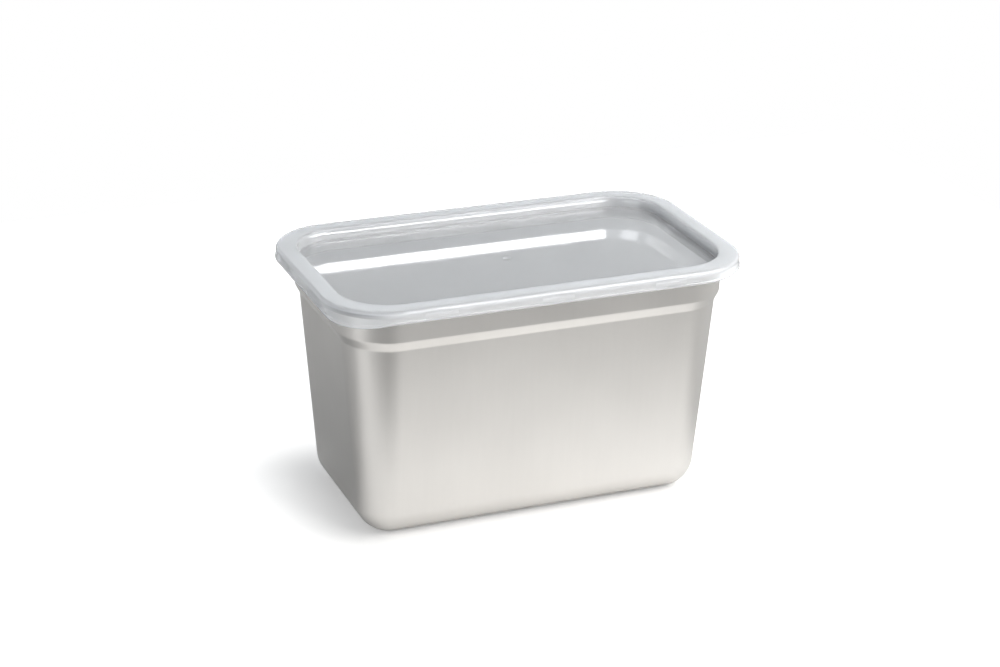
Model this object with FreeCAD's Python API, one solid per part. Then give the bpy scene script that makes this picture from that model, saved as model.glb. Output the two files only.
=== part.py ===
import FreeCAD, Part
import math
import os

# A deep-drawn steel gelato pan with a clear clip-on lid. Millimetres; the origin is the centre of the
# pan's underside, +X runs along the long sides, +Y to the back and +Z up.

# Pan, drawn from one sheet of steel
pan_length = 265.0           # over the flange
pan_width = 158.0
pan_height = 156.5           # to the top of the flange
sheet = 0.8
flange_corner_radius = 38.0
flange_reach = 8.4           # from the collar's outer face to the flange's edge
hem_depth = 2.5              # turned-down edge of the flange
hem_rounding = 0.6
collar_corner_radius = 32.6
collar_height = 22.5         # from the shoulder to the top of the flange
rim_bend = 3.0               # this and the other bends are radii of the pan's outer face
rim_run = 1.0                # flat stretch between the rim's bend and the flange
shoulder_step = 2.9          # how far the wall steps in under the collar
shoulder_drop = 6.0
shoulder_bend = 4.0
wall_draft = 4.65            # degrees
base_bend = 19.0

# Lid, one clear moulding
skirt_clearance = 0.5        # from the flange's edge to the skirt
skirt_wall = 1.5
skirt_height = 7.9           # from the top of the lid
band_thickness = 1.5         # over the flange
band_rounding = 2.2          # along the lid's outer edge
mouth_rounding = 1.2         # where the band turns down into the recess
recess_depth = 7.3           # from the band to the panel
recess_rounding = 0.7        # where the recess meets the panel
panel_thickness = 1.0
plug_wall = 0.9              # the recess's wall, which plugs into the collar
plug_clearance = 0.3
lip_height = 1.3             # bead along the foot of the skirt
lip_relief = 0.5
lip_rounding = 0.4
lug_width = 20.0
lug_pitch = 73.0             # three lugs on each long side
side_lug_pitch = 58.0        # two lugs on each short side
lug_relief = 0.45            # how far a lug stands out of the skirt
lug_rounding = 0.4
hook_reach = 0.9             # how far a lug reaches in under the flange's hem
hook_clearance = 0.6
tab_corner_radius = 29.0     # the lift tab squares off the front left corner of the skirt
tab_start = 4.0              # how far below the top of the lid the tab flares out
gate_diameter = 5.0          # moulding gate in the middle of the panel
gate_height = 0.3

overrun = 1.0                # how far a cutting shape runs past what it cuts
tolerance = 1e-4

# Sizes that follow
shoulder_top = pan_height - collar_height
shoulder_foot = shoulder_top - shoulder_drop
wall_corner_radius = collar_corner_radius - shoulder_step
draft_slope = math.tan(math.radians(wall_draft))
base_corner_radius = wall_corner_radius - draft_slope * shoulder_foot
base_bend = min(base_bend, base_corner_radius / (math.hypot(1, draft_slope) - draft_slope))
lid_top = pan_height + band_thickness
skirt_foot = lid_top - skirt_height
panel_top = lid_top - recess_depth
panel_foot = panel_top - panel_thickness
hem_foot = pan_height - hem_depth


def grown(loop, distance):
    return tuple(size + distance for size in loop)


# A loop is a rounded rectangle round the Z axis: half its length, half its width, its corner radius.
flange_loop = (pan_length / 2, pan_width / 2, flange_corner_radius)
collar_loop = (pan_length / 2 - flange_reach, pan_width / 2 - flange_reach, collar_corner_radius)
skirt_inner_loop = grown(flange_loop, skirt_clearance)
skirt_loop = grown(skirt_inner_loop, skirt_wall)
plug_loop = grown(collar_loop, -sheet - plug_clearance)
recess_loop = grown(plug_loop, -plug_wall)


def loop_wire(loop, z):
    half_length, half_width, radius = loop
    arcs = []
    for side_x, side_y, start in ((1, -1, -90), (1, 1, 0), (-1, 1, 90), (-1, -1, 180)):
        centre = FreeCAD.Vector(side_x * (half_length - radius), side_y * (half_width - radius), z)
        angles = [math.radians(start + turn) for turn in (0, 45, 90)]
        arcs.append([centre + FreeCAD.Vector(math.cos(angle), math.sin(angle), 0) * radius
                     for angle in angles])
    edges = []
    for arc, following in zip(arcs, arcs[1:] + arcs[:1]):
        edges.append(Part.Arc(*arc).toShape())
        edges.append(Part.LineSegment(arc[2], following[0]).toShape())
    return Part.Wire(edges)


def level_edges(solid, z):
    return [edge for edge in solid.Edges
            if max(abs(edge.BoundBox.ZMin - z), abs(edge.BoundBox.ZMax - z)) < tolerance]


def lies_within(edge, loop):
    box = edge.BoundBox
    return (max(abs(box.XMin), abs(box.XMax)) < loop[0] + tolerance
            and max(abs(box.YMin), abs(box.YMax)) < loop[1] + tolerance)


def block(loop, foot, top, foot_rounding=0, top_rounding=0):
    solid = Part.Face(loop_wire(loop, foot)).extrude(FreeCAD.Vector(0, 0, top - foot))
    for z, rounding in ((foot, foot_rounding), (top, top_rounding)):
        if rounding:
            solid = solid.makeFillet(rounding, level_edges(solid, z))
    return solid


def ring(outer, inner, foot, top, foot_rounding=0, top_rounding=0):
    hole = block(inner, foot - overrun, top + overrun)
    return block(outer, foot, top, foot_rounding, top_rounding).cut(hole)


def rounded_path(points, radii):
    """Edges through points in the XZ plane, each inner point rounded by its radius."""
    edges = []
    last = points[0]
    for before, corner, after, radius in zip(points, points[1:], points[2:], radii):
        back = (before - corner).normalize()
        ahead = (after - corner).normalize()
        half_angle = back.getAngle(ahead) / 2
        reach = radius / math.tan(half_angle)
        apex = radius / math.sin(half_angle) - radius
        first = corner + back * reach
        second = corner + ahead * reach
        middle = corner + (back + ahead).normalize() * apex
        edges.append(Part.LineSegment(last, first).toShape())
        edges.append(Part.Arc(first, middle, second).toShape())
        last = second
    edges.append(Part.LineSegment(last, points[-1]).toShape())
    return edges


def shifted_left(points, distance):
    """The same path, moved to its left by a distance."""
    ways = [(after - before).normalize() for before, after in zip(points, points[1:])]
    normals = [FreeCAD.Vector(-way.z, 0, way.x) for way in ways]
    moved = [points[0] + normals[0] * distance]
    for point, first, second in zip(points[1:-1], normals, normals[1:]):
        moved.append(point + (first + second) * (distance / (1 + first.dot(second))))
    moved.append(points[-1] + normals[-1] * distance)
    return moved


def sheet_section():
    """Section of the pan's wall, from the corner's axis at X = 0 out to the flange."""
    outer = [FreeCAD.Vector(x, 0, z) for x, z in (
        (0, 0),
        (base_corner_radius, 0),
        (wall_corner_radius, shoulder_foot),
        (collar_corner_radius, shoulder_top),
        (collar_corner_radius, pan_height - sheet),
        (collar_corner_radius + rim_bend + rim_run, pan_height - sheet))]
    inner = shifted_left(outer, sheet)
    outer_radii = (base_bend, shoulder_bend, shoulder_bend, rim_bend)
    inner_radii = (base_bend - sheet, shoulder_bend + sheet, shoulder_bend - sheet, rim_bend + sheet)
    edges = rounded_path(outer, outer_radii)
    edges.append(Part.LineSegment(outer[-1], inner[-1]).toShape())
    edges += rounded_path(inner[::-1], inner_radii[::-1])
    edges.append(Part.LineSegment(inner[0], outer[0]).toShape())
    return Part.Face(Part.Wire(edges))


def pan():
    section = sheet_section()
    corner_x = collar_loop[0] - collar_corner_radius
    corner_y = collar_loop[1] - collar_corner_radius
    up = FreeCAD.Vector(0, 0, 1)
    origin = FreeCAD.Vector(0, 0, 0)
    pieces = []
    for quarter, (distance, half_run) in enumerate(((corner_x, corner_y), (corner_y, corner_x)) * 2):
        wall = section.extrude(FreeCAD.Vector(0, 2 * half_run, 0))
        wall.translate(FreeCAD.Vector(distance, -half_run, 0))
        corner = section.revolve(origin, up, 90)
        corner.translate(FreeCAD.Vector(distance, half_run, 0))
        for piece in (wall, corner):
            piece.rotate(origin, up, 90 * quarter)
            pieces.append(piece)
    floor = Part.makeBox(2 * corner_x, 2 * corner_y, sheet, FreeCAD.Vector(-corner_x, -corner_y, 0))
    flange = ring(flange_loop, grown(collar_loop, rim_bend + rim_run), pan_height - sheet, pan_height)
    hem_inner_loop = grown(flange_loop, -sheet)
    rim = flange.fuse(ring(flange_loop, hem_inner_loop, hem_foot, pan_height)).removeSplitter()
    hem_edges = [edge for edge in level_edges(rim, pan_height) if not lies_within(edge, hem_inner_loop)]
    rim = rim.makeFillet(hem_rounding, hem_edges)
    return floor.fuse(pieces + [rim]).removeSplitter()


def lid_shell():
    """Band, skirt, plug wall and panel."""
    shell = block(skirt_loop, skirt_foot, lid_top, top_rounding=band_rounding)
    shell = shell.fuse(block(plug_loop, panel_foot, lid_top))
    shell = shell.cut(block(recess_loop, panel_top, lid_top + overrun, foot_rounding=recess_rounding))
    shell = shell.cut(ring(skirt_inner_loop, plug_loop, skirt_foot - overrun, pan_height))
    mouth = [edge for edge in level_edges(shell, lid_top) if lies_within(edge, recess_loop)]
    return shell.makeFillet(mouth_rounding, mouth)


def tab_flare(loop):
    """A skirt loop whose corners grow squarer towards the foot."""
    squared = (loop[0], loop[1], loop[2] - skirt_loop[2] + tab_corner_radius)
    return Part.makeLoft([loop_wire(squared, skirt_foot), loop_wire(loop, lid_top - tab_start)],
                         True, True)


def tab_corner():
    """The space that holds the front left corner of the skirt."""
    span = skirt_loop[2] + overrun
    return Part.makeBox(span, span, lid_top,
                        FreeCAD.Vector(-skirt_loop[0] - overrun, -skirt_loop[1] - overrun, 0))


def bead(loop):
    return ring(grown(loop, lip_relief), grown(loop, -lip_relief),
                skirt_foot, skirt_foot + lip_height, lip_rounding, lip_rounding)


def lug(distance, along, quarter):
    """A snap lug: distance from the centre to the skirt, place along it, and which side it is on."""
    depth = skirt_wall + hook_reach + lug_relief
    foot = skirt_foot + lip_height / 2
    height = hem_foot - hook_clearance - foot
    start = FreeCAD.Vector(distance + lug_relief - depth, along - lug_width / 2, foot)
    solid = Part.makeBox(depth, lug_width, height, start)
    front = [edge for edge in solid.Edges if edge.BoundBox.XMin > start.x + depth - tolerance]
    solid = solid.makeFillet(lug_rounding, front)
    solid.rotate(FreeCAD.Vector(0, 0, 0), FreeCAD.Vector(0, 0, 1), 90 * quarter)
    return solid


def lid():
    corner = tab_corner()
    under_tab = tab_flare(skirt_inner_loop).common(corner)
    tab = tab_flare(skirt_loop).common(corner).cut(under_tab)
    cleared = under_tab.cut(block(plug_loop, panel_foot, lid_top))

    squared_loop = (skirt_loop[0], skirt_loop[1], tab_corner_radius)
    trims = [tab, bead(skirt_loop).cut(corner), bead(squared_loop).common(corner)]
    for along in (-lug_pitch, 0, lug_pitch):
        trims += [lug(skirt_loop[1], along, quarter) for quarter in (1, 3)]
    for along in (-side_lug_pitch / 2, side_lug_pitch / 2):
        trims += [lug(skirt_loop[0], along, quarter) for quarter in (0, 2)]
    gate_foot = panel_top - panel_thickness / 2
    trims.append(Part.makeCylinder(gate_diameter / 2, panel_top + gate_height - gate_foot,
                                   FreeCAD.Vector(0, 0, gate_foot)))
    return lid_shell().cut(cleared).fuse(trims).removeSplitter()


os.makedirs("parts", exist_ok=True)
for name, solid in (("pan", pan()), ("lid", lid())):
    solid.exportStep(f"parts/{name}.step")
    box = solid.optimalBoundingBox()
    print(f"{name}: {len(solid.Solids)} solid, valid {solid.isValid()}, {solid.Volume / 1000:.1f} cm3, "
          f"{box.XLength:.1f} x {box.YLength:.1f} x {box.ZLength:.1f} mm")
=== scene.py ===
import bmesh
import bpy
import math
from mathutils import Matrix, Vector


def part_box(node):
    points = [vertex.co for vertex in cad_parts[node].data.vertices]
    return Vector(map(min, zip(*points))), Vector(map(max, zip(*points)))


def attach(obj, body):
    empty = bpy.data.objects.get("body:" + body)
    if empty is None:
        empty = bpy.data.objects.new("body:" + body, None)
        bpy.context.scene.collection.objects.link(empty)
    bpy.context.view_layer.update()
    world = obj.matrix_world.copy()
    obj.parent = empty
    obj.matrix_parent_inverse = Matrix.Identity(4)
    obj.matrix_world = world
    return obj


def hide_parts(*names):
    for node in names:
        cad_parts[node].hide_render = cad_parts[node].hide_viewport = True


# A steel gelato pan with a clear clip-on lid. Metres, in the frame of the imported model.

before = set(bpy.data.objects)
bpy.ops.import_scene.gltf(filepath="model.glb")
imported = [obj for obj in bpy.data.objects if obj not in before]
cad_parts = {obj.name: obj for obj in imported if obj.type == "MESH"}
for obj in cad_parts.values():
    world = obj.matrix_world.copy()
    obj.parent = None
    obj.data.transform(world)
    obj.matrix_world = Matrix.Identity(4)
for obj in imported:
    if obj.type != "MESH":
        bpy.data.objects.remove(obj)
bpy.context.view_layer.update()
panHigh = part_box("pan")[1]
lidLow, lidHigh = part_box("lid")
scene = bpy.context.scene
nearly = 1e-6                 # allowed when a point is tested against a line
print("frame loaded")


# Sections, sweeps and meshes

def newObject(name, data):
    thing = bpy.data.objects.new(name, data)
    scene.collection.objects.link(thing)
    return thing


def sectionPoints(corners, arcStep):
    # corners are (outward, up, radius); each inner one becomes an arc of steps no longer than arcStep degrees
    points = [Vector(corners[0][:2])]
    for before, corner, after in zip(corners, corners[1:], corners[2:]):
        here = Vector(corner[:2])
        back = (Vector(before[:2]) - here).normalized()
        ahead = (Vector(after[:2]) - here).normalized()
        if corner[2] == 0:
            points.append(here)
            continue
        half = back.angle(ahead) / 2
        start = here + back * (corner[2] / math.tan(half))
        centre = here + (back + ahead).normalized() * (corner[2] / math.sin(half))
        turn = math.pi - 2 * half
        if back.x * ahead.y - back.y * ahead.x > 0:
            turn = -turn
        count = max(2, math.ceil(abs(math.degrees(turn)) / arcStep))
        for step in range(count + 1):
            points.append(centre + Matrix.Rotation(turn * step / count, 2) @ (start - centre))
    points.append(Vector(corners[-1][:2]))
    return points


def sweepTree():
    # a section carried round a rounded rectangle
    tree = bpy.data.node_groups.new("sweepRoundLoop", "GeometryNodeTree")
    tree.is_modifier = True
    face = tree.interface
    for name, kind, value in (("Half Length", "NodeSocketFloat", 0.1),
                              ("Half Width", "NodeSocketFloat", 0.1),
                              ("Corner Radius", "NodeSocketFloat", 0.02),
                              ("Corner Steps", "NodeSocketInt", 24),
                              ("Section", "NodeSocketObject", None),
                              ("Material", "NodeSocketMaterial", None)):
        socket = face.new_socket(name=name, in_out="INPUT", socket_type=kind)
        if value is not None:
            socket.default_value = value
    face.new_socket(name="Geometry", in_out="OUTPUT", socket_type="NodeSocketGeometry")
    nodes, links = tree.nodes, tree.links
    given = nodes.new("NodeGroupInput")
    rectangle = nodes.new("GeometryNodeCurvePrimitiveQuadrilateral")
    for name, side in (("Half Length", "Width"), ("Half Width", "Height")):
        links.new(mathNode(tree, "MULTIPLY", given.outputs[name], 2), rectangle.inputs[side])
    fillet = nodes.new("GeometryNodeFilletCurve")
    fillet.mode = "POLY"
    links.new(rectangle.outputs["Curve"], fillet.inputs["Curve"])
    links.new(given.outputs["Corner Radius"], fillet.inputs["Radius"])
    links.new(given.outputs["Corner Steps"], fillet.inputs["Count"])
    section = nodes.new("GeometryNodeObjectInfo")
    links.new(given.outputs["Section"], section.inputs["Object"])
    sweep = nodes.new("GeometryNodeCurveToMesh")
    links.new(fillet.outputs["Curve"], sweep.inputs["Curve"])
    links.new(section.outputs["Geometry"], sweep.inputs["Profile Curve"])
    realize = nodes.new("GeometryNodeRealizeInstances")
    links.new(sweep.outputs["Mesh"], realize.inputs["Geometry"])
    finish = nodes.new("GeometryNodeSetMaterial")
    links.new(realize.outputs["Geometry"], finish.inputs["Geometry"])
    links.new(given.outputs["Material"], finish.inputs["Material"])
    result = nodes.new("NodeGroupOutput")
    links.new(finish.outputs["Geometry"], result.inputs["Geometry"])
    return tree


def evaluatedMesh(thing):
    depsgraph = bpy.context.evaluated_depsgraph_get()
    return bpy.data.meshes.new_from_object(thing.evaluated_get(depsgraph), depsgraph=depsgraph)


def sweep(loop, points, material, cornerSteps):
    # loop is half length, half width and corner radius; points are (outward from the loop, height)
    curve = bpy.data.curves.new("section", "CURVE")
    curve.dimensions = "2D"
    spline = curve.splines.new("POLY")
    spline.points.add(len(points) - 1)
    for place, point in zip(spline.points, points):
        place.co = (point[0], -point[1], 0, 1)     # Curve to Mesh turns a section's +Y downwards
    section = newObject("section", curve)
    holder = newObject("sweep", bpy.data.meshes.new("sweep"))
    modifier = holder.modifiers.new("sweep", "NODES")
    modifier.node_group = sweepLoop
    values = {"Half Length": loop[0], "Half Width": loop[1], "Corner Radius": loop[2],
              "Corner Steps": cornerSteps, "Section": section, "Material": material}
    for item in sweepLoop.interface.items_tree:
        if item.in_out == "INPUT":
            modifier[item.identifier] = values[item.name]
    mesh = evaluatedMesh(holder)
    for thing in (holder, section):
        bpy.data.objects.remove(thing)
    return mesh


def addSweep(bm, loop, points, material, cornerSteps):
    # the new vertices, as one closed ring for each point of the section
    mesh = sweep(loop, points, material, cornerSteps)
    before = len(bm.verts)
    bm.from_mesh(mesh)
    bm.verts.ensure_lookup_table()
    made = bm.verts[before:]
    return [made[start::len(points)] for start in range(len(points))]


def joinRings(bm, first, second, slot=0):
    for here, there in zip(range(len(first)), range(-1, len(first) - 1)):
        bm.faces.new((first[here], first[there], second[there], second[here])).material_index = slot


def faceOutwards(bm):
    # an open skin's normals may come out turned in, so they are checked on its lowest face
    bmesh.ops.recalc_face_normals(bm, faces=bm.faces)
    lowest = min(bm.faces, key=lambda face: face.calc_center_median().z)
    if lowest.normal.z > 0:
        bmesh.ops.reverse_faces(bm, faces=bm.faces)


def meshPiece(name, bm, materials):
    for face in bm.faces:
        face.smooth = True
    mesh = bpy.data.meshes.new(name)
    for material in materials:
        mesh.materials.append(material)            # before to_mesh, which keeps only slots that are there
    bm.to_mesh(mesh)
    bm.free()
    return newObject(name, mesh)


def applied(piece):
    # its modifiers made into plain mesh, then normals that follow the larger faces
    piece.data = evaluatedMesh(piece)
    piece.modifiers.clear()
    trueNormals = piece.modifiers.new("normals", "WEIGHTED_NORMAL")
    trueNormals.mode = "FACE_AREA"
    trueNormals.weight = 100
    return piece


# Nodes

def mathNode(tree, operation, *values):
    node = tree.nodes.new("ShaderNodeMath")
    node.operation = operation
    for socket, value in zip(node.inputs, values):
        if isinstance(value, (int, float)):
            socket.default_value = value
        else:
            tree.links.new(value, socket)
    return node.outputs[0]


def vectorNode(tree, operation, *values):
    node = tree.nodes.new("ShaderNodeVectorMath")
    node.operation = operation
    for socket, value in zip(node.inputs, values):
        if isinstance(value, tuple):
            socket.default_value = value
        else:
            tree.links.new(value, socket)
    return node.outputs["Value"] if operation in ("DOT_PRODUCT", "LENGTH") else node.outputs["Vector"]


def ranged(tree, value, fromMin, fromMax, toMin, toMax):
    node = tree.nodes.new("ShaderNodeMapRange")
    node.interpolation_type = "SMOOTHSTEP"
    tree.links.new(value, node.inputs["Value"])
    for name, number in (("From Min", fromMin), ("From Max", fromMax), ("To Min", toMin), ("To Max", toMax)):
        node.inputs[name].default_value = number
    return node.outputs["Result"]


def mixed(tree, factor, first, second):
    node = tree.nodes.new("ShaderNodeMix")
    node.data_type = "FLOAT"
    for name, value in (("Factor", factor), ("A", first), ("B", second)):
        if isinstance(value, (int, float)):
            node.inputs[name].default_value = value
        else:
            tree.links.new(value, node.inputs[name])
    return node.outputs["Result"]


def objectPlace(tree):
    return tree.nodes.new("ShaderNodeTexCoord").outputs["Object"]


sweepLoop = sweepTree()


# Materials

def nodeMaterial(name):
    material = bpy.data.materials.new(name)
    material.use_nodes = True
    return material, material.node_tree, material.node_tree.nodes["Principled BSDF"]


def shaderGroup(name, inputs, output):
    group = bpy.data.node_groups.new(name, "ShaderNodeTree")
    face = group.interface
    for title, value in inputs:
        face.new_socket(name=title, in_out="INPUT", socket_type="NodeSocketFloat").default_value = value
    face.new_socket(name=output, in_out="OUTPUT", socket_type="NodeSocketFloat")
    return group, group.nodes.new("NodeGroupInput").outputs, group.nodes.new("NodeGroupOutput").inputs


def cloudGroup():
    # soft patches, such as handling leaves, between two values
    group, given, result = shaderGroup("softClouds", (("Scale", 20), ("Low", 0), ("High", 1)), "Value")
    noise = group.nodes.new("ShaderNodeTexNoise")
    noise.inputs["Detail"].default_value = 1
    group.links.new(objectPlace(group), noise.inputs["Vector"])
    group.links.new(given["Scale"], noise.inputs["Scale"])
    span = group.nodes.new("ShaderNodeMapRange")
    span.clamp = False
    span.inputs["From Min"].default_value = 0.25   # noise seldom goes past a quarter and three quarters
    span.inputs["From Max"].default_value = 0.75
    group.links.new(noise.outputs["Fac"], span.inputs["Value"])
    group.links.new(given["Low"], span.inputs["To Min"])
    group.links.new(given["High"], span.inputs["To Max"])
    group.links.new(span.outputs["Result"], result["Value"])
    return group


def grainGroup():
    # fine grain, drawn out along the height when Stretch is under 1
    group, given, result = shaderGroup("fineGrain", (("Scale", 900), ("Stretch", 1)), "Height")
    squeeze = group.nodes.new("ShaderNodeCombineXYZ")
    squeeze.inputs["X"].default_value = 1
    squeeze.inputs["Y"].default_value = 1
    group.links.new(given["Stretch"], squeeze.inputs["Z"])
    drawn = vectorNode(group, "MULTIPLY", objectPlace(group), squeeze.outputs["Vector"])
    noise = group.nodes.new("ShaderNodeTexNoise")
    noise.inputs["Detail"].default_value = 2
    group.links.new(drawn, noise.inputs["Vector"])
    group.links.new(given["Scale"], noise.inputs["Scale"])
    group.links.new(noise.outputs["Fac"], result["Height"])
    return group


softClouds = cloudGroup()
fineGrain = grainGroup()


def placed(tree, group, values):
    node = tree.nodes.new("ShaderNodeGroup")
    node.node_tree = group
    for name, value in values.items():
        node.inputs[name].default_value = value
    return node.outputs[0]


def clouded(tree, scale, low, high):
    return placed(tree, softClouds, {"Scale": scale, "Low": low, "High": high})


def tinted(tree, colour, shade):
    # the colour, made lighter and darker by the shade
    node = tree.nodes.new("ShaderNodeVectorMath")
    node.operation = "SCALE"
    node.inputs[0].default_value = colour
    tree.links.new(shade, node.inputs["Scale"])
    return node.outputs["Vector"]


def bumped(tree, height, distance):
    node = tree.nodes.new("ShaderNodeBump")
    node.inputs["Strength"].default_value = 1
    node.inputs["Distance"].default_value = distance
    tree.links.new(height, node.inputs["Height"])
    return node.outputs["Normal"]


steelPattern = {              # a larger scale is a finer pattern
    "lineScale": 320,
    "lineStretch": 0.04,
    "blotchScale": 17,
    "smudgeScale": 38,
    "waveScale": 11,
}


def steelMaterial(name, look):
    material, tree, shader = nodeMaterial(name)
    shader.inputs["Metallic"].default_value = 1
    lines = placed(tree, fineGrain, {"Scale": steelPattern["lineScale"],
                                     "Stretch": steelPattern["lineStretch"]})
    clouds = clouded(tree, steelPattern["blotchScale"], 1 - look["blotch"], 1 + look["blotch"])
    shade = mathNode(tree, "MULTIPLY_ADD", mathNode(tree, "SUBTRACT", lines, 0.5), look["lines"], clouds)
    tree.links.new(tinted(tree, look["colour"], shade), shader.inputs["Base Color"])
    smudges = clouded(tree, steelPattern["smudgeScale"], look["roughness"] - look["smudge"],
                      look["roughness"] + look["smudge"])
    tree.links.new(smudges, shader.inputs["Roughness"])
    waves = clouded(tree, steelPattern["waveScale"], 0, 1)
    tree.links.new(bumped(tree, waves, look["wave"]), shader.inputs["Normal"])
    return material


satinSteel = steelMaterial("satinSteel", {
    "colour": (0.755, 0.737, 0.712),
    "roughness": 0.305,
    "blotch": 0.03,           # how much lighter and darker the patches are
    "smudge": 0.02,           # how much smoother and rougher they are
    "wave": 0.00006,
    "lines": 0.028,
})
innerSteel = steelMaterial("innerSteel", {
    "colour": (0.755, 0.745, 0.73),
    "roughness": 0.16,
    "blotch": 0.02,
    "smudge": 0.02,
    "wave": 0.00003,
    "lines": 0.03,
})

plasticPattern = {
    "hazeScale": 26,
    "wearScale": 45,
    "wearLeast": 0.8,         # the smoothest and the roughest patches, as shares of the roughness
    "wearMost": 1.3,
    "flowScale": 12,
    "refraction": 1.49,
    "scatterReach": 0.003,
}


def tabShadeMask(tree, paintedTabShade):
    # painted shade: 1 where the lid's colour is darkened, between two heights and past a line across the
    # floor plan
    place = objectPlace(tree)
    height = vectorNode(tree, "DOT_PRODUCT", place, (0, 0, 1))
    low, high = lidHigh.z - paintedTabShade["foot"], lidHigh.z - paintedTabShade["top"]
    lowBlur, highBlur = paintedTabShade["footBlur"], paintedTabShade["topBlur"]
    inside = mathNode(tree, "MULTIPLY", ranged(tree, height, low - lowBlur, low + lowBlur, 0, 1),
                      ranged(tree, height, high - highBlur, high + highBlur, 1, 0))
    reach = vectorNode(tree, "DOT_PRODUCT", place, paintedTabShade["way"])
    return mathNode(tree, "MULTIPLY", inside, ranged(tree, reach, paintedTabShade["start"], paintedTabShade["full"], 0, 1))


def plasticMaterial(name, look):
    # light passes through it, and lamps still reach what lies under it
    material, tree, shader = nodeMaterial(name)
    shade = clouded(tree, plasticPattern["hazeScale"], 1 - look["haze"], 1)
    # painted shade: the colour is darkened in the hollow over the tab, where the band's edge shades it
    if "paintedTabShade" in look:
        tabShadeShare = mixed(tree, tabShadeMask(tree, look["paintedTabShade"]), 1, look["paintedTabShade"]["shade"])
        shade = mathNode(tree, "MULTIPLY", shade, tabShadeShare)
    tree.links.new(tinted(tree, look["colour"], shade), shader.inputs["Base Color"])
    worn = clouded(tree, plasticPattern["wearScale"], look["roughness"] * plasticPattern["wearLeast"],
                   look["roughness"] * plasticPattern["wearMost"])
    tree.links.new(worn, shader.inputs["Roughness"])
    flow = clouded(tree, plasticPattern["flowScale"], 0, 1)
    tree.links.new(bumped(tree, flow, look["flow"]), shader.inputs["Normal"])
    shader.inputs["Transmission Weight"].default_value = look["clearness"]
    shader.inputs["IOR"].default_value = plasticPattern["refraction"]
    shader.inputs["Subsurface Weight"].default_value = look["scatter"]
    shader.inputs["Subsurface Radius"].default_value = (1, 1, 1)
    shader.inputs["Subsurface Scale"].default_value = plasticPattern["scatterReach"]
    rays = tree.nodes.new("ShaderNodeLightPath").outputs
    shadowed = mathNode(tree, "MULTIPLY_ADD", rays["Is Shadow Ray"], -look["lampShare"], 1)
    tree.links.new(shadowed, shader.inputs["Alpha"])
    return material


frostedRim = plasticMaterial("frostedRim", {
    "colour": (0.95, 0.972, 1.0),
    "haze": 0.015,
    "roughness": 0.1,
    "flow": 0.00002,
    "clearness": 0.72,
    "scatter": 0.5,
    "lampShare": 0.7,         # how much of a lamp's light passes
    "paintedTabShade": {               # painted shade: the colour is darkened in the hollow over the tab, under the band's edge, where its shadow falls
        "shade": 0.5,
        "top": 0.0019,        # this and the foot are below the lid's top
        "topBlur": 0.0004,
        "foot": 0.0043,
        "footBlur": 0.0003,
        "way": (-0.74, -0.67, 0),
        "start": 0.128,       # along that way from the lid's middle
        "full": 0.142,
    },
})
clearPanel = plasticMaterial("clearPanel", {
    "colour": (0.955, 0.973, 1.0),
    "haze": 0.03,
    "roughness": 0.04,
    "flow": 0.00002,
    "clearness": 0.8,
    "scatter": 0.3,
    "lampShare": 0.9,
})
print("materials made")


# Pan

panShape = {
    "sheet": 0.0008,
    "cornerSteps": 24,
    "wallArcStep": 6,         # degrees
    "hemArcStep": 15,
    "flangeCorner": 0.038,
    "flangeReach": 0.0084,
    "hemDepth": 0.0025,
    "hemRounding": 0.001,
    "hemRun": 0.0015,         # flat stretch of the flange before the hem
    "collarCorner": 0.0326,
    "collarHeight": 0.0225,
    "rimBend": 0.003,
    "rimRun": 0.001,
    "shoulderStep": 0.0029,
    "shoulderDrop": 0.006,
    "shoulderBend": 0.004,
    "draft": 4.65,            # degrees
    "baseBend": 0.019,
    "baseCorner": 0.0009,     # corner radius of the face that closes the base
}


def makePan(shape):
    top, sheet, steps = panHigh.z, shape["sheet"], shape["cornerSteps"]
    flange = (panHigh.x, panHigh.y, shape["flangeCorner"])
    collar = (panHigh.x - shape["flangeReach"], panHigh.y - shape["flangeReach"], shape["collarCorner"])
    shoulderTop = top - shape["collarHeight"]
    shoulderFoot = shoulderTop - shape["shoulderDrop"]
    stepIn = -shape["shoulderStep"]
    baseIn = stepIn - math.tan(math.radians(shape["draft"])) * shoulderFoot
    flangeFoot = top - sheet
    # both sweeps are the sheet's outer skin, which is the underside of the flange
    wall = sectionPoints([
        (shape["baseCorner"] - shape["collarCorner"], 0, 0),
        (baseIn, 0, shape["baseBend"]),
        (stepIn, shoulderFoot, shape["shoulderBend"]),
        (0, shoulderTop, shape["shoulderBend"]),
        (0, flangeFoot, shape["rimBend"]),
        (shape["rimBend"] + shape["rimRun"], flangeFoot, 0)], shape["wallArcStep"])
    hem = sectionPoints([
        (-sheet - shape["hemRun"], flangeFoot, 0),
        (-sheet, flangeFoot, shape["hemRounding"] - sheet),
        (-sheet, top - shape["hemDepth"], 0)], shape["hemArcStep"])
    bm = bmesh.new()
    wallRings = addSweep(bm, collar, wall, satinSteel, steps)
    hemRings = addSweep(bm, flange, hem, satinSteel, steps)
    joinRings(bm, wallRings[-1], hemRings[0])
    bm.faces.new(wallRings[0])
    faceOutwards(bm)
    piece = meshPiece("steelPan", bm, [satinSteel, innerSteel])
    wallThickness = piece.modifiers.new("sheet", "SOLIDIFY")
    wallThickness.thickness = sheet
    wallThickness.offset = -1
    wallThickness.use_even_offset = True
    wallThickness.material_offset = 1
    return applied(piece)


steelPan = makePan(panShape)
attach(steelPan, "root")
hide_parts("pan")
print("pan made:", len(steelPan.data.polygons), "faces")


# Lid

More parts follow.
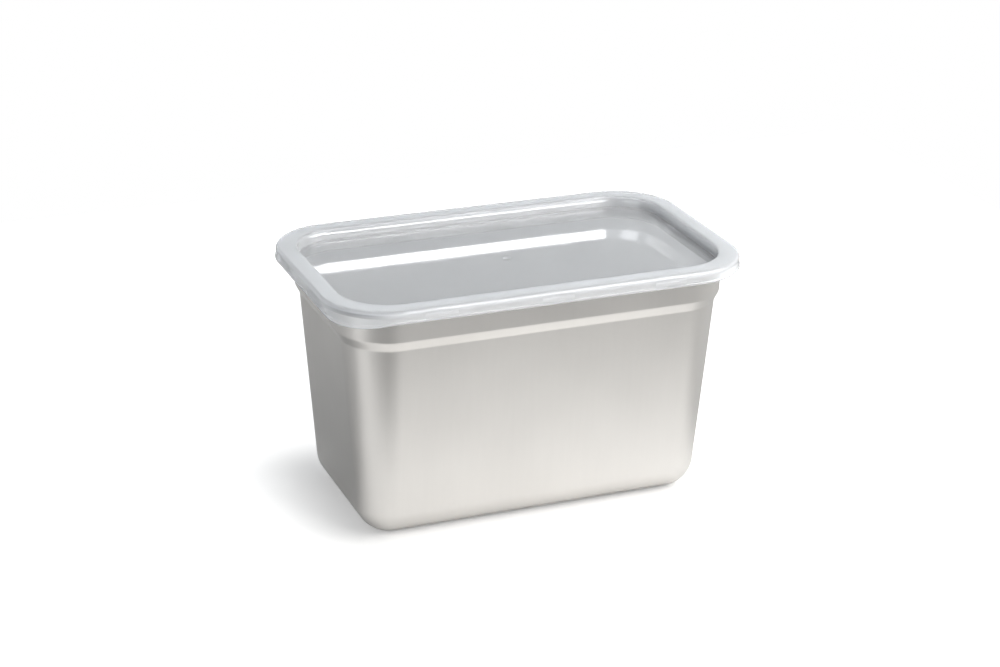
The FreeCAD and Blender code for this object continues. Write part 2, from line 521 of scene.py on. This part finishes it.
rimSlot, panelSlot = 0, 1
lidShape = {
    "cornerSteps": 28,
    "arcStep": 15,            # degrees
    "mouthArcStep": 10,
    "skirtWall": 0.0015,
    "skirtCorner": 0.040,
    "skirtRounding": 0.0005,  # inside, under the band
    "footRise": 0.0004,       # how far the foot stays above the tab's lowest point
    "bandThickness": 0.0015,
    "bandRounding": 0.0022,
    "bandRun": 0.004,         # flat stretch of the band from the skirt inwards
    "mouthRun": 0.0045,       # flat stretch of the band from the recess outwards
    "mouthRounding": 0.0012,
    "recessRounding": 0.0007,
    "recessDepth": 0.0073,
    "recessCorner": 0.0306,
    "plugWall": 0.0009,
    "plugClearance": 0.0003,
    "plugTopRounding": 0.0004,
    "plugFootRounding": 0.0005,
    "panelThickness": 0.001,
    "panelStep": 0.00025,
    "panelStepIn": 0.0026,
    "panelStepRun": 0.0003,
    "panelEdge": 0.0008,      # from the step's start to the edge of the face that closes the panel
    "lipHeight": 0.0013,
    "lipRelief": 0.0005,
    "lipRounding": 0.0004,
    "lipSlope": 0.0002,
    "lipInside": (0.6, 0.8),  # the relief inside, half way up and at the foot, as shares of that outside
    "lipInsideRounding": 0.0003,
    "tabCorner": 0.029,
    "tabDepth": 0.004,        # how far in from the skirt's face the tab reaches
    "tabStart": 0.0043,       # below the lid's top
    "tabCurve": 1.1,
    "tabDrop": 0.0012,
    "nubRadius": 0.0028,
    "nubHeight": 0.0003,
    "nubRings": ((1, 0), (0.9, 1), (0.45, 1), (0.35, 0.6)),  # shares of the radius and of the height
    "lugWidth": 0.02,
    "lugPitch": 0.073,
    "sideLugPitch": 0.058,
    "lugRelief": 0.00045,
    "lugEdge": 0.0003,
    "lugDepth": 0.0025,       # how deep into the skirt the lugs are cut
    "skinDepth": 0.0002,      # points deeper than this belong to the skirt's inside
    "hookReach": 0.0009,
    "hookClearance": 0.0006,
}


def makeLid(shape):
    top, foot = lidHigh.z, lidLow.z + shape["footRise"]
    wall, relief, edge = shape["skirtWall"], shape["lipRelief"], shape["lugEdge"]
    arcStep, steps = shape["arcStep"], shape["cornerSteps"]
    skirt = (lidHigh.x - relief, lidHigh.y - relief, shape["skirtCorner"])
    inward = panShape["flangeReach"] + panShape["sheet"] + shape["plugClearance"] + shape["plugWall"]
    recess = (panHigh.x - inward, panHigh.y - inward, shape["recessCorner"])
    bandFoot = top - shape["bandThickness"]
    panelTop = top - shape["recessDepth"]
    panelFoot = panelTop - shape["panelThickness"]
    lipTop = foot + shape["lipHeight"]
    lipMiddle = foot + shape["lipHeight"] / 2
    lipRounding = shape["lipRounding"]
    middleInside, footInside = shape["lipInside"]
    lugTop = top - panShape["hemDepth"] - shape["bandThickness"] - shape["hookClearance"]
    outer = sectionPoints([
        (-wall - shape["bandRun"], bandFoot, 0),
        (-wall, bandFoot, shape["skirtRounding"]),
        (-wall, lugTop + edge, 0),
        (-wall, lugTop, 0),
        (-wall, lipTop + shape["lipSlope"], shape["lipInsideRounding"]),
        (-wall + relief * middleInside, lipMiddle, lipRounding),
        (-wall + relief * footInside, foot, lipRounding),
        (relief, foot, lipRounding),
        (relief, lipTop, lipRounding),
        (0, lipTop + shape["lipSlope"], 0),
        (0, lugTop, 0),
        (0, lugTop + edge, 0),
        (0, top, shape["bandRounding"]),
        (-wall - shape["bandRun"], top, 0)], arcStep)
    stepStart = -shape["panelStepIn"]
    mouth = sectionPoints([
        (shape["mouthRun"], top, 0),
        (0, top, shape["mouthRounding"]),
        (0, panelTop, shape["recessRounding"]),
        (stepStart, panelTop, 0),
        (stepStart - shape["panelStepRun"], panelTop - shape["panelStep"], 0),
        (stepStart - shape["panelEdge"], panelTop - shape["panelStep"], 0)], shape["mouthArcStep"])
    plug = sectionPoints([
        (shape["mouthRun"], bandFoot, 0),
        (shape["plugWall"], bandFoot, shape["plugTopRounding"]),
        (shape["plugWall"], panelFoot, shape["plugFootRounding"]),
        (stepStart, panelFoot, 0),
        (stepStart - shape["panelStepRun"], panelFoot - shape["panelStep"], 0),
        (stepStart - shape["panelEdge"], panelFoot - shape["panelStep"], 0)], arcStep)
    bm = bmesh.new()
    mouthRings = addSweep(bm, recess, mouth, clearPanel, steps)
    plugRings = addSweep(bm, recess, plug, clearPanel, steps)
    inside = len(bm.faces)
    skirtRings = addSweep(bm, skirt, outer, frostedRim, steps)
    joinRings(bm, skirtRings[0], plugRings[0])
    joinRings(bm, skirtRings[-1], mouthRings[0])
    bm.faces.ensure_lookup_table()
    for face in bm.faces[:inside]:
        # the recess wall is as milky as the rim; only the panel is clear
        if face.calc_center_median().z < panelTop + shape["recessRounding"] / 2:
            face.material_index = panelSlot
    bm.faces.new(plugRings[-1]).material_index = panelSlot
    growNub(bm, mouthRings[-1], shape)
    faceOutwards(bm)
    raiseLugs(bm, shape, skirt, lipTop, lugTop)
    flareTab(bm, shape, skirt, foot, top)
    return applied(meshPiece("clearLid", bm, [frostedRim, clearPanel]))


def growNub(bm, ring, shape):
    # the panel closes on a low round nub at its middle, where the mould was filled
    level = ring[0].co.z
    start = math.atan2(ring[0].co.y, ring[0].co.x)
    turn = math.tau / len(ring)
    if ring[0].co.cross(ring[1].co).z < 0:
        turn = -turn
    radius, height = shape["nubRadius"], shape["nubHeight"]
    for reach, rise in shape["nubRings"]:
        nextRing = []
        for step in range(len(ring)):
            angle = start + turn * step
            nextRing.append(bm.verts.new((math.cos(angle) * radius * reach, math.sin(angle) * radius * reach,
                                          level + height * rise)))
        joinRings(bm, ring, nextRing, rimSlot if rise else panelSlot)
        ring = nextRing
    bm.faces.new(ring)


def cutSkirt(bm, out, side, depth, along, cut):
    # an edge right across one side of the skirt
    skin = [face for face in bm.faces if all(vertex.co[out] * side > depth for vertex in face.verts)]
    parts = set(skin)
    for face in skin:
        parts.update(face.edges, face.verts)
    point, normal = Vector((0, 0, 0)), Vector((0, 0, 0))
    point[along], normal[along] = cut, 1
    bmesh.ops.bisect_plane(bm, geom=list(parts), plane_co=point, plane_no=normal)


def raiseLugs(bm, shape, skirt, lipTop, lugTop):
    # each lug is a thicker stretch of the skirt, proud outside and hooked inside
    rows = ((1, 0, skirt[1], (-shape["lugPitch"], 0, shape["lugPitch"])),
            (0, 1, skirt[0], (-shape["sideLugPitch"] / 2, shape["sideLugPitch"] / 2)))
    half, edge = shape["lugWidth"] / 2, shape["lugEdge"]
    for out, along, reach, places in rows:
        depth = reach - shape["lugDepth"]
        for side in (-1, 1):
            for middle in places:
                for cut in (middle - half - edge, middle - half, middle + half, middle + half + edge):
                    cutSkirt(bm, out, side, depth, along, cut)
                for vertex in bm.verts:
                    if (abs(vertex.co[along] - middle) > half + nearly or vertex.co[out] * side < depth
                            or not lipTop - nearly < vertex.co.z < lugTop + nearly):
                        continue
                    if vertex.co[out] * side > reach - shape["skinDepth"]:
                        vertex.co[out] = side * (reach + shape["lugRelief"])
                    else:
                        vertex.co[out] -= side * shape["hookReach"]


def flareTab(bm, shape, skirt, foot, top):
    # the front left corner of the skirt grows squarer and lower towards its foot
    corner = skirt[2]
    middle = Vector((corner - skirt[0], corner - skirt[1]))
    start = top - shape["tabStart"]
    diagonal = math.sqrt(2) - 1                    # scales the drop to 1 at the corner's middle
    for vertex in bm.verts:
        spoke = vertex.co.xy - middle
        if (vertex.co.z > start or spoke.x > nearly or spoke.y > nearly
                or spoke.length < corner - shape["tabDepth"]):
            continue
        share = ((start - vertex.co.z) / (start - foot)) ** shape["tabCurve"]
        push = (corner - shape["tabCorner"]) * share
        way = spoke.normalized()
        vertex.co.x -= push * (1 + way.x)
        vertex.co.y -= push * (1 + way.y)
        vertex.co.z -= shape["tabDrop"] * share * (-way.x - way.y - 1) / diagonal


clearLid = makeLid(lidShape)
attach(clearLid, "root")
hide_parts("lid")
print("lid made:", len(clearLid.data.polygons), "faces")


# Studio

floorLook = {
    "halfSize": 0.6,
    "roughness": 0.8,
    "colour": 0.86,           # as the camera sees it
    "mirrored": 0.9,          # as the metal shows it, before it fades
    # painted shade and painted reflection: for all rays but the camera's, the fades darken the floor towards
    # the front, in a patch in front of the left corner, beside the back of the left wall where the pan's
    # shadow falls, and to the right; each is where it starts and ends along two ways over the floor, and the
    # share that is left there
    "paintedReflectionShade": ((((0.2, -1, 0), 0.05, 0.48), ((0, -1, 0), 0, 0.05), 0.29),
              (((-1, 0, 0), 0.04, 0.16), ((0, -1, 0), 0.1, 0.28), 0.5),
              (((-1, 0, 0), 0.1, 0.14), ((0, 1, 0), -0.08, 0.02), 0.63),
              (((0.92, 0.39, 0), 0.08, 0.19), ((0, 1, 0), -0.3, -0.1), 0.6)),
    "footIn": 0.03,           # from the flange in to the outline that the glow spreads from
    "contactLift": 0.26,      # glow close to it
    "openLift": 0.72,         # glow well away from it
    "liftStart": 0.004,       # where the glow starts to grow, and where it is full
    "liftReach": 0.065,
    "mirroredStart": 0.008,   # the same for the glow that the metal shows
    "mirroredReach": 0.03,
    "mirroredLift": 0.16,
}


def makeFloor(look):
    mesh = bpy.data.meshes.new("floor")
    bm = bmesh.new()
    bmesh.ops.create_grid(bm, x_segments=1, y_segments=1, size=look["halfSize"])
    bm.to_mesh(mesh)
    bm.free()
    paper, tree, shader = nodeMaterial("paleFloor")
    shader.inputs["Roughness"].default_value = look["roughness"]
    shader.inputs["Specular IOR Level"].default_value = 0
    rays = tree.nodes.new("ShaderNodeLightPath").outputs
    place = objectPlace(tree)
    # painted shade: the floor's colour as the metal shows it, darkened by each fade
    reflectedShade = look["mirrored"]
    for first, second, left in look["paintedReflectionShade"]:
        shares = [ranged(tree, vectorNode(tree, "DOT_PRODUCT", place, way), start, end, 0, 1)
                  for way, start, end in (first, second)]
        reflectedShade = mathNode(tree, "MULTIPLY", reflectedShade, mixed(tree, mathNode(tree, "MULTIPLY", *shares), 1, left))
    # the camera sees the plain colour; the metal and bounced light see the painted shade
    seen = mathNode(tree, "MAXIMUM", rays["Is Camera Ray"], rays["Is Transmission Ray"])
    tree.links.new(mixed(tree, seen, reflectedShade, look["colour"]), shader.inputs["Base Color"])
    # away from the pan's foot the floor lifts to white, so the shadow stays close
    footing = (panHigh.x - look["footIn"], panHigh.y - look["footIn"], 1)
    apart = vectorNode(tree, "SUBTRACT", vectorNode(tree, "ABSOLUTE", place), footing)
    apart = vectorNode(tree, "LENGTH", vectorNode(tree, "MAXIMUM", apart, (0, 0, 0)))
    lift = ranged(tree, apart, look["liftStart"], look["liftReach"], look["contactLift"], look["openLift"])
    mirrored = mathNode(tree, "MULTIPLY", mathNode(tree, "MULTIPLY", reflectedShade, reflectedShade),
                        ranged(tree, apart, look["mirroredStart"], look["mirroredReach"],
                               0, look["mirroredLift"]))
    glow = mathNode(tree, "MAXIMUM", mathNode(tree, "MULTIPLY", lift, seen),
                    mathNode(tree, "MULTIPLY", mirrored, rays["Is Glossy Ray"]))
    shader.inputs["Emission Color"].default_value = (1, 1, 1, 1)
    tree.links.new(glow, shader.inputs["Emission Strength"])
    mesh.materials.append(paper)
    return newObject("floor", mesh)


floor = makeFloor(floorLook)

warm, plain = (1, 0.985, 0.958), (1, 1, 1)
lampAim = 0.57                # share of the pan's height
lamps = {
    # azimuth from the front to the right and elevation, both in degrees, distance, size, power and colour
    "ledgeLamp": (24, 36, 0.85, 0.32, 1.4, warm),
    "sideLamp": (55, 42, 0.85, 0.45, 1.9, warm),
    "frontWindow": (23, 28, 1.6, 0.45, 2.6, warm),
    "rightWindow": (60, 32, 1.6, 0.9, 7.5, warm),
    "backWindow": (112, 35, 1.6, 1.2, 2.6, plain),
    "leftWindow": (-60, 30, 1.6, 1.1, 5.4, plain),
    "topLamp": (80, 62, 1.6, 0.7, 3.0, plain),
}


def hangLamp(name, azimuth, elevation, distance, size, power, colour):
    light = bpy.data.lights.new(name, "AREA")
    light.size = size
    light.energy = power
    light.color = colour
    lamp = newObject(name, light)
    across, up = math.radians(azimuth), math.radians(elevation)
    way = Vector((math.sin(across) * math.cos(up), -math.cos(across) * math.cos(up), math.sin(up)))
    lamp.location = Vector((0, 0, panHigh.z * lampAim)) + way * distance
    lamp.rotation_euler = (-way).to_track_quat("-Z", "Y").to_euler()


for name, values in lamps.items():
    hangLamp(name, *values)

room = {                      # heights are sines of the angle above the horizon
    "low": 0.9,               # below the horizon
    "lowEnds": (-0.05, 0.02),
    "middle": 0.08,           # all round above it
    "window": 0.87,           # added towards the window
    "windowAzimuth": 152,
    "windowWidth": 1.6,       # larger is narrower
    "high": 0.28,             # overhead
    "highStarts": (0.3, 0.6),
    "tint": (0.94, 0.975, 1, 1),
}


def lightRoom(look):
    world = bpy.data.worlds.new("studio")
    scene.world = world
    world.use_nodes = True
    tree = world.node_tree
    sky = tree.nodes["Background"]
    rays = tree.nodes.new("ShaderNodeLightPath").outputs
    place = tree.nodes.new("ShaderNodeTexCoord").outputs["Generated"]
    height = vectorNode(tree, "DOT_PRODUCT", place, (0, 0, 1))
    windowAngle = math.radians(look["windowAzimuth"])
    towards = vectorNode(tree, "DOT_PRODUCT", place, (math.sin(windowAngle), -math.cos(windowAngle), 0))
    # a little over 1, so that nothing is divided by zero straight overhead
    spread = mathNode(tree, "SUBTRACT", 1.0001, mathNode(tree, "MULTIPLY", height, height))
    facing = mathNode(tree, "DIVIDE", towards, mathNode(tree, "SQRT", spread))
    window = mathNode(tree, "POWER", mathNode(tree, "MAXIMUM", facing, 0), look["windowWidth"])
    around = mathNode(tree, "MULTIPLY_ADD", window, look["window"], look["middle"])
    upper = mixed(tree, ranged(tree, height, *look["highStarts"], 0, 1), around, look["high"])
    level = mixed(tree, ranged(tree, height, *look["lowEnds"], 1, 0), upper, look["low"])
    passed = mathNode(tree, "MAXIMUM", rays["Is Transmission Ray"], rays["Is Glossy Ray"])
    under = mathNode(tree, "MULTIPLY", mathNode(tree, "LESS_THAN", height, 0), passed)
    seen = mathNode(tree, "MAXIMUM", rays["Is Camera Ray"], under)
    tree.links.new(mixed(tree, seen, level, 1), sky.inputs["Strength"])
    tint = tree.nodes.new("ShaderNodeMix")
    tint.data_type = "RGBA"
    tint.inputs["A"].default_value = look["tint"]
    tint.inputs["B"].default_value = (1, 1, 1, 1)
    tree.links.new(seen, tint.inputs["Factor"])
    tree.links.new(tint.outputs["Result"], sky.inputs["Color"])


lightRoom(room)
bpy.context.scene.view_settings.view_transform = "Standard"
print("studio lit")


# Camera

view = {
    "azimuth": 22.114,        # degrees towards the left of straight in front
    "elevation": 22.071,
    "roll": 0.805,
    "distance": 1.465,
    "aside": -0.0025,         # how far the line of sight passes from the middle of the pan's foot
    "above": 0.0929,
    "lens": 82.1,
    "sensor": 36,
}
turn = (Matrix.Rotation(math.radians(-view["azimuth"]), 3, "Z")
        @ Matrix.Rotation(math.radians(90 - view["elevation"]), 3, "X")
        @ Matrix.Rotation(math.radians(view["roll"]), 3, "Z"))
camera = newObject("camera", bpy.data.cameras.new("camera"))
camera.data.lens = view["lens"]
camera.data.sensor_width = view["sensor"]
camera.location = turn @ Vector((view["aside"], view["above"], view["distance"]))
camera.rotation_euler = turn.to_euler()
bpy.context.scene.camera = camera
print("camera placed")
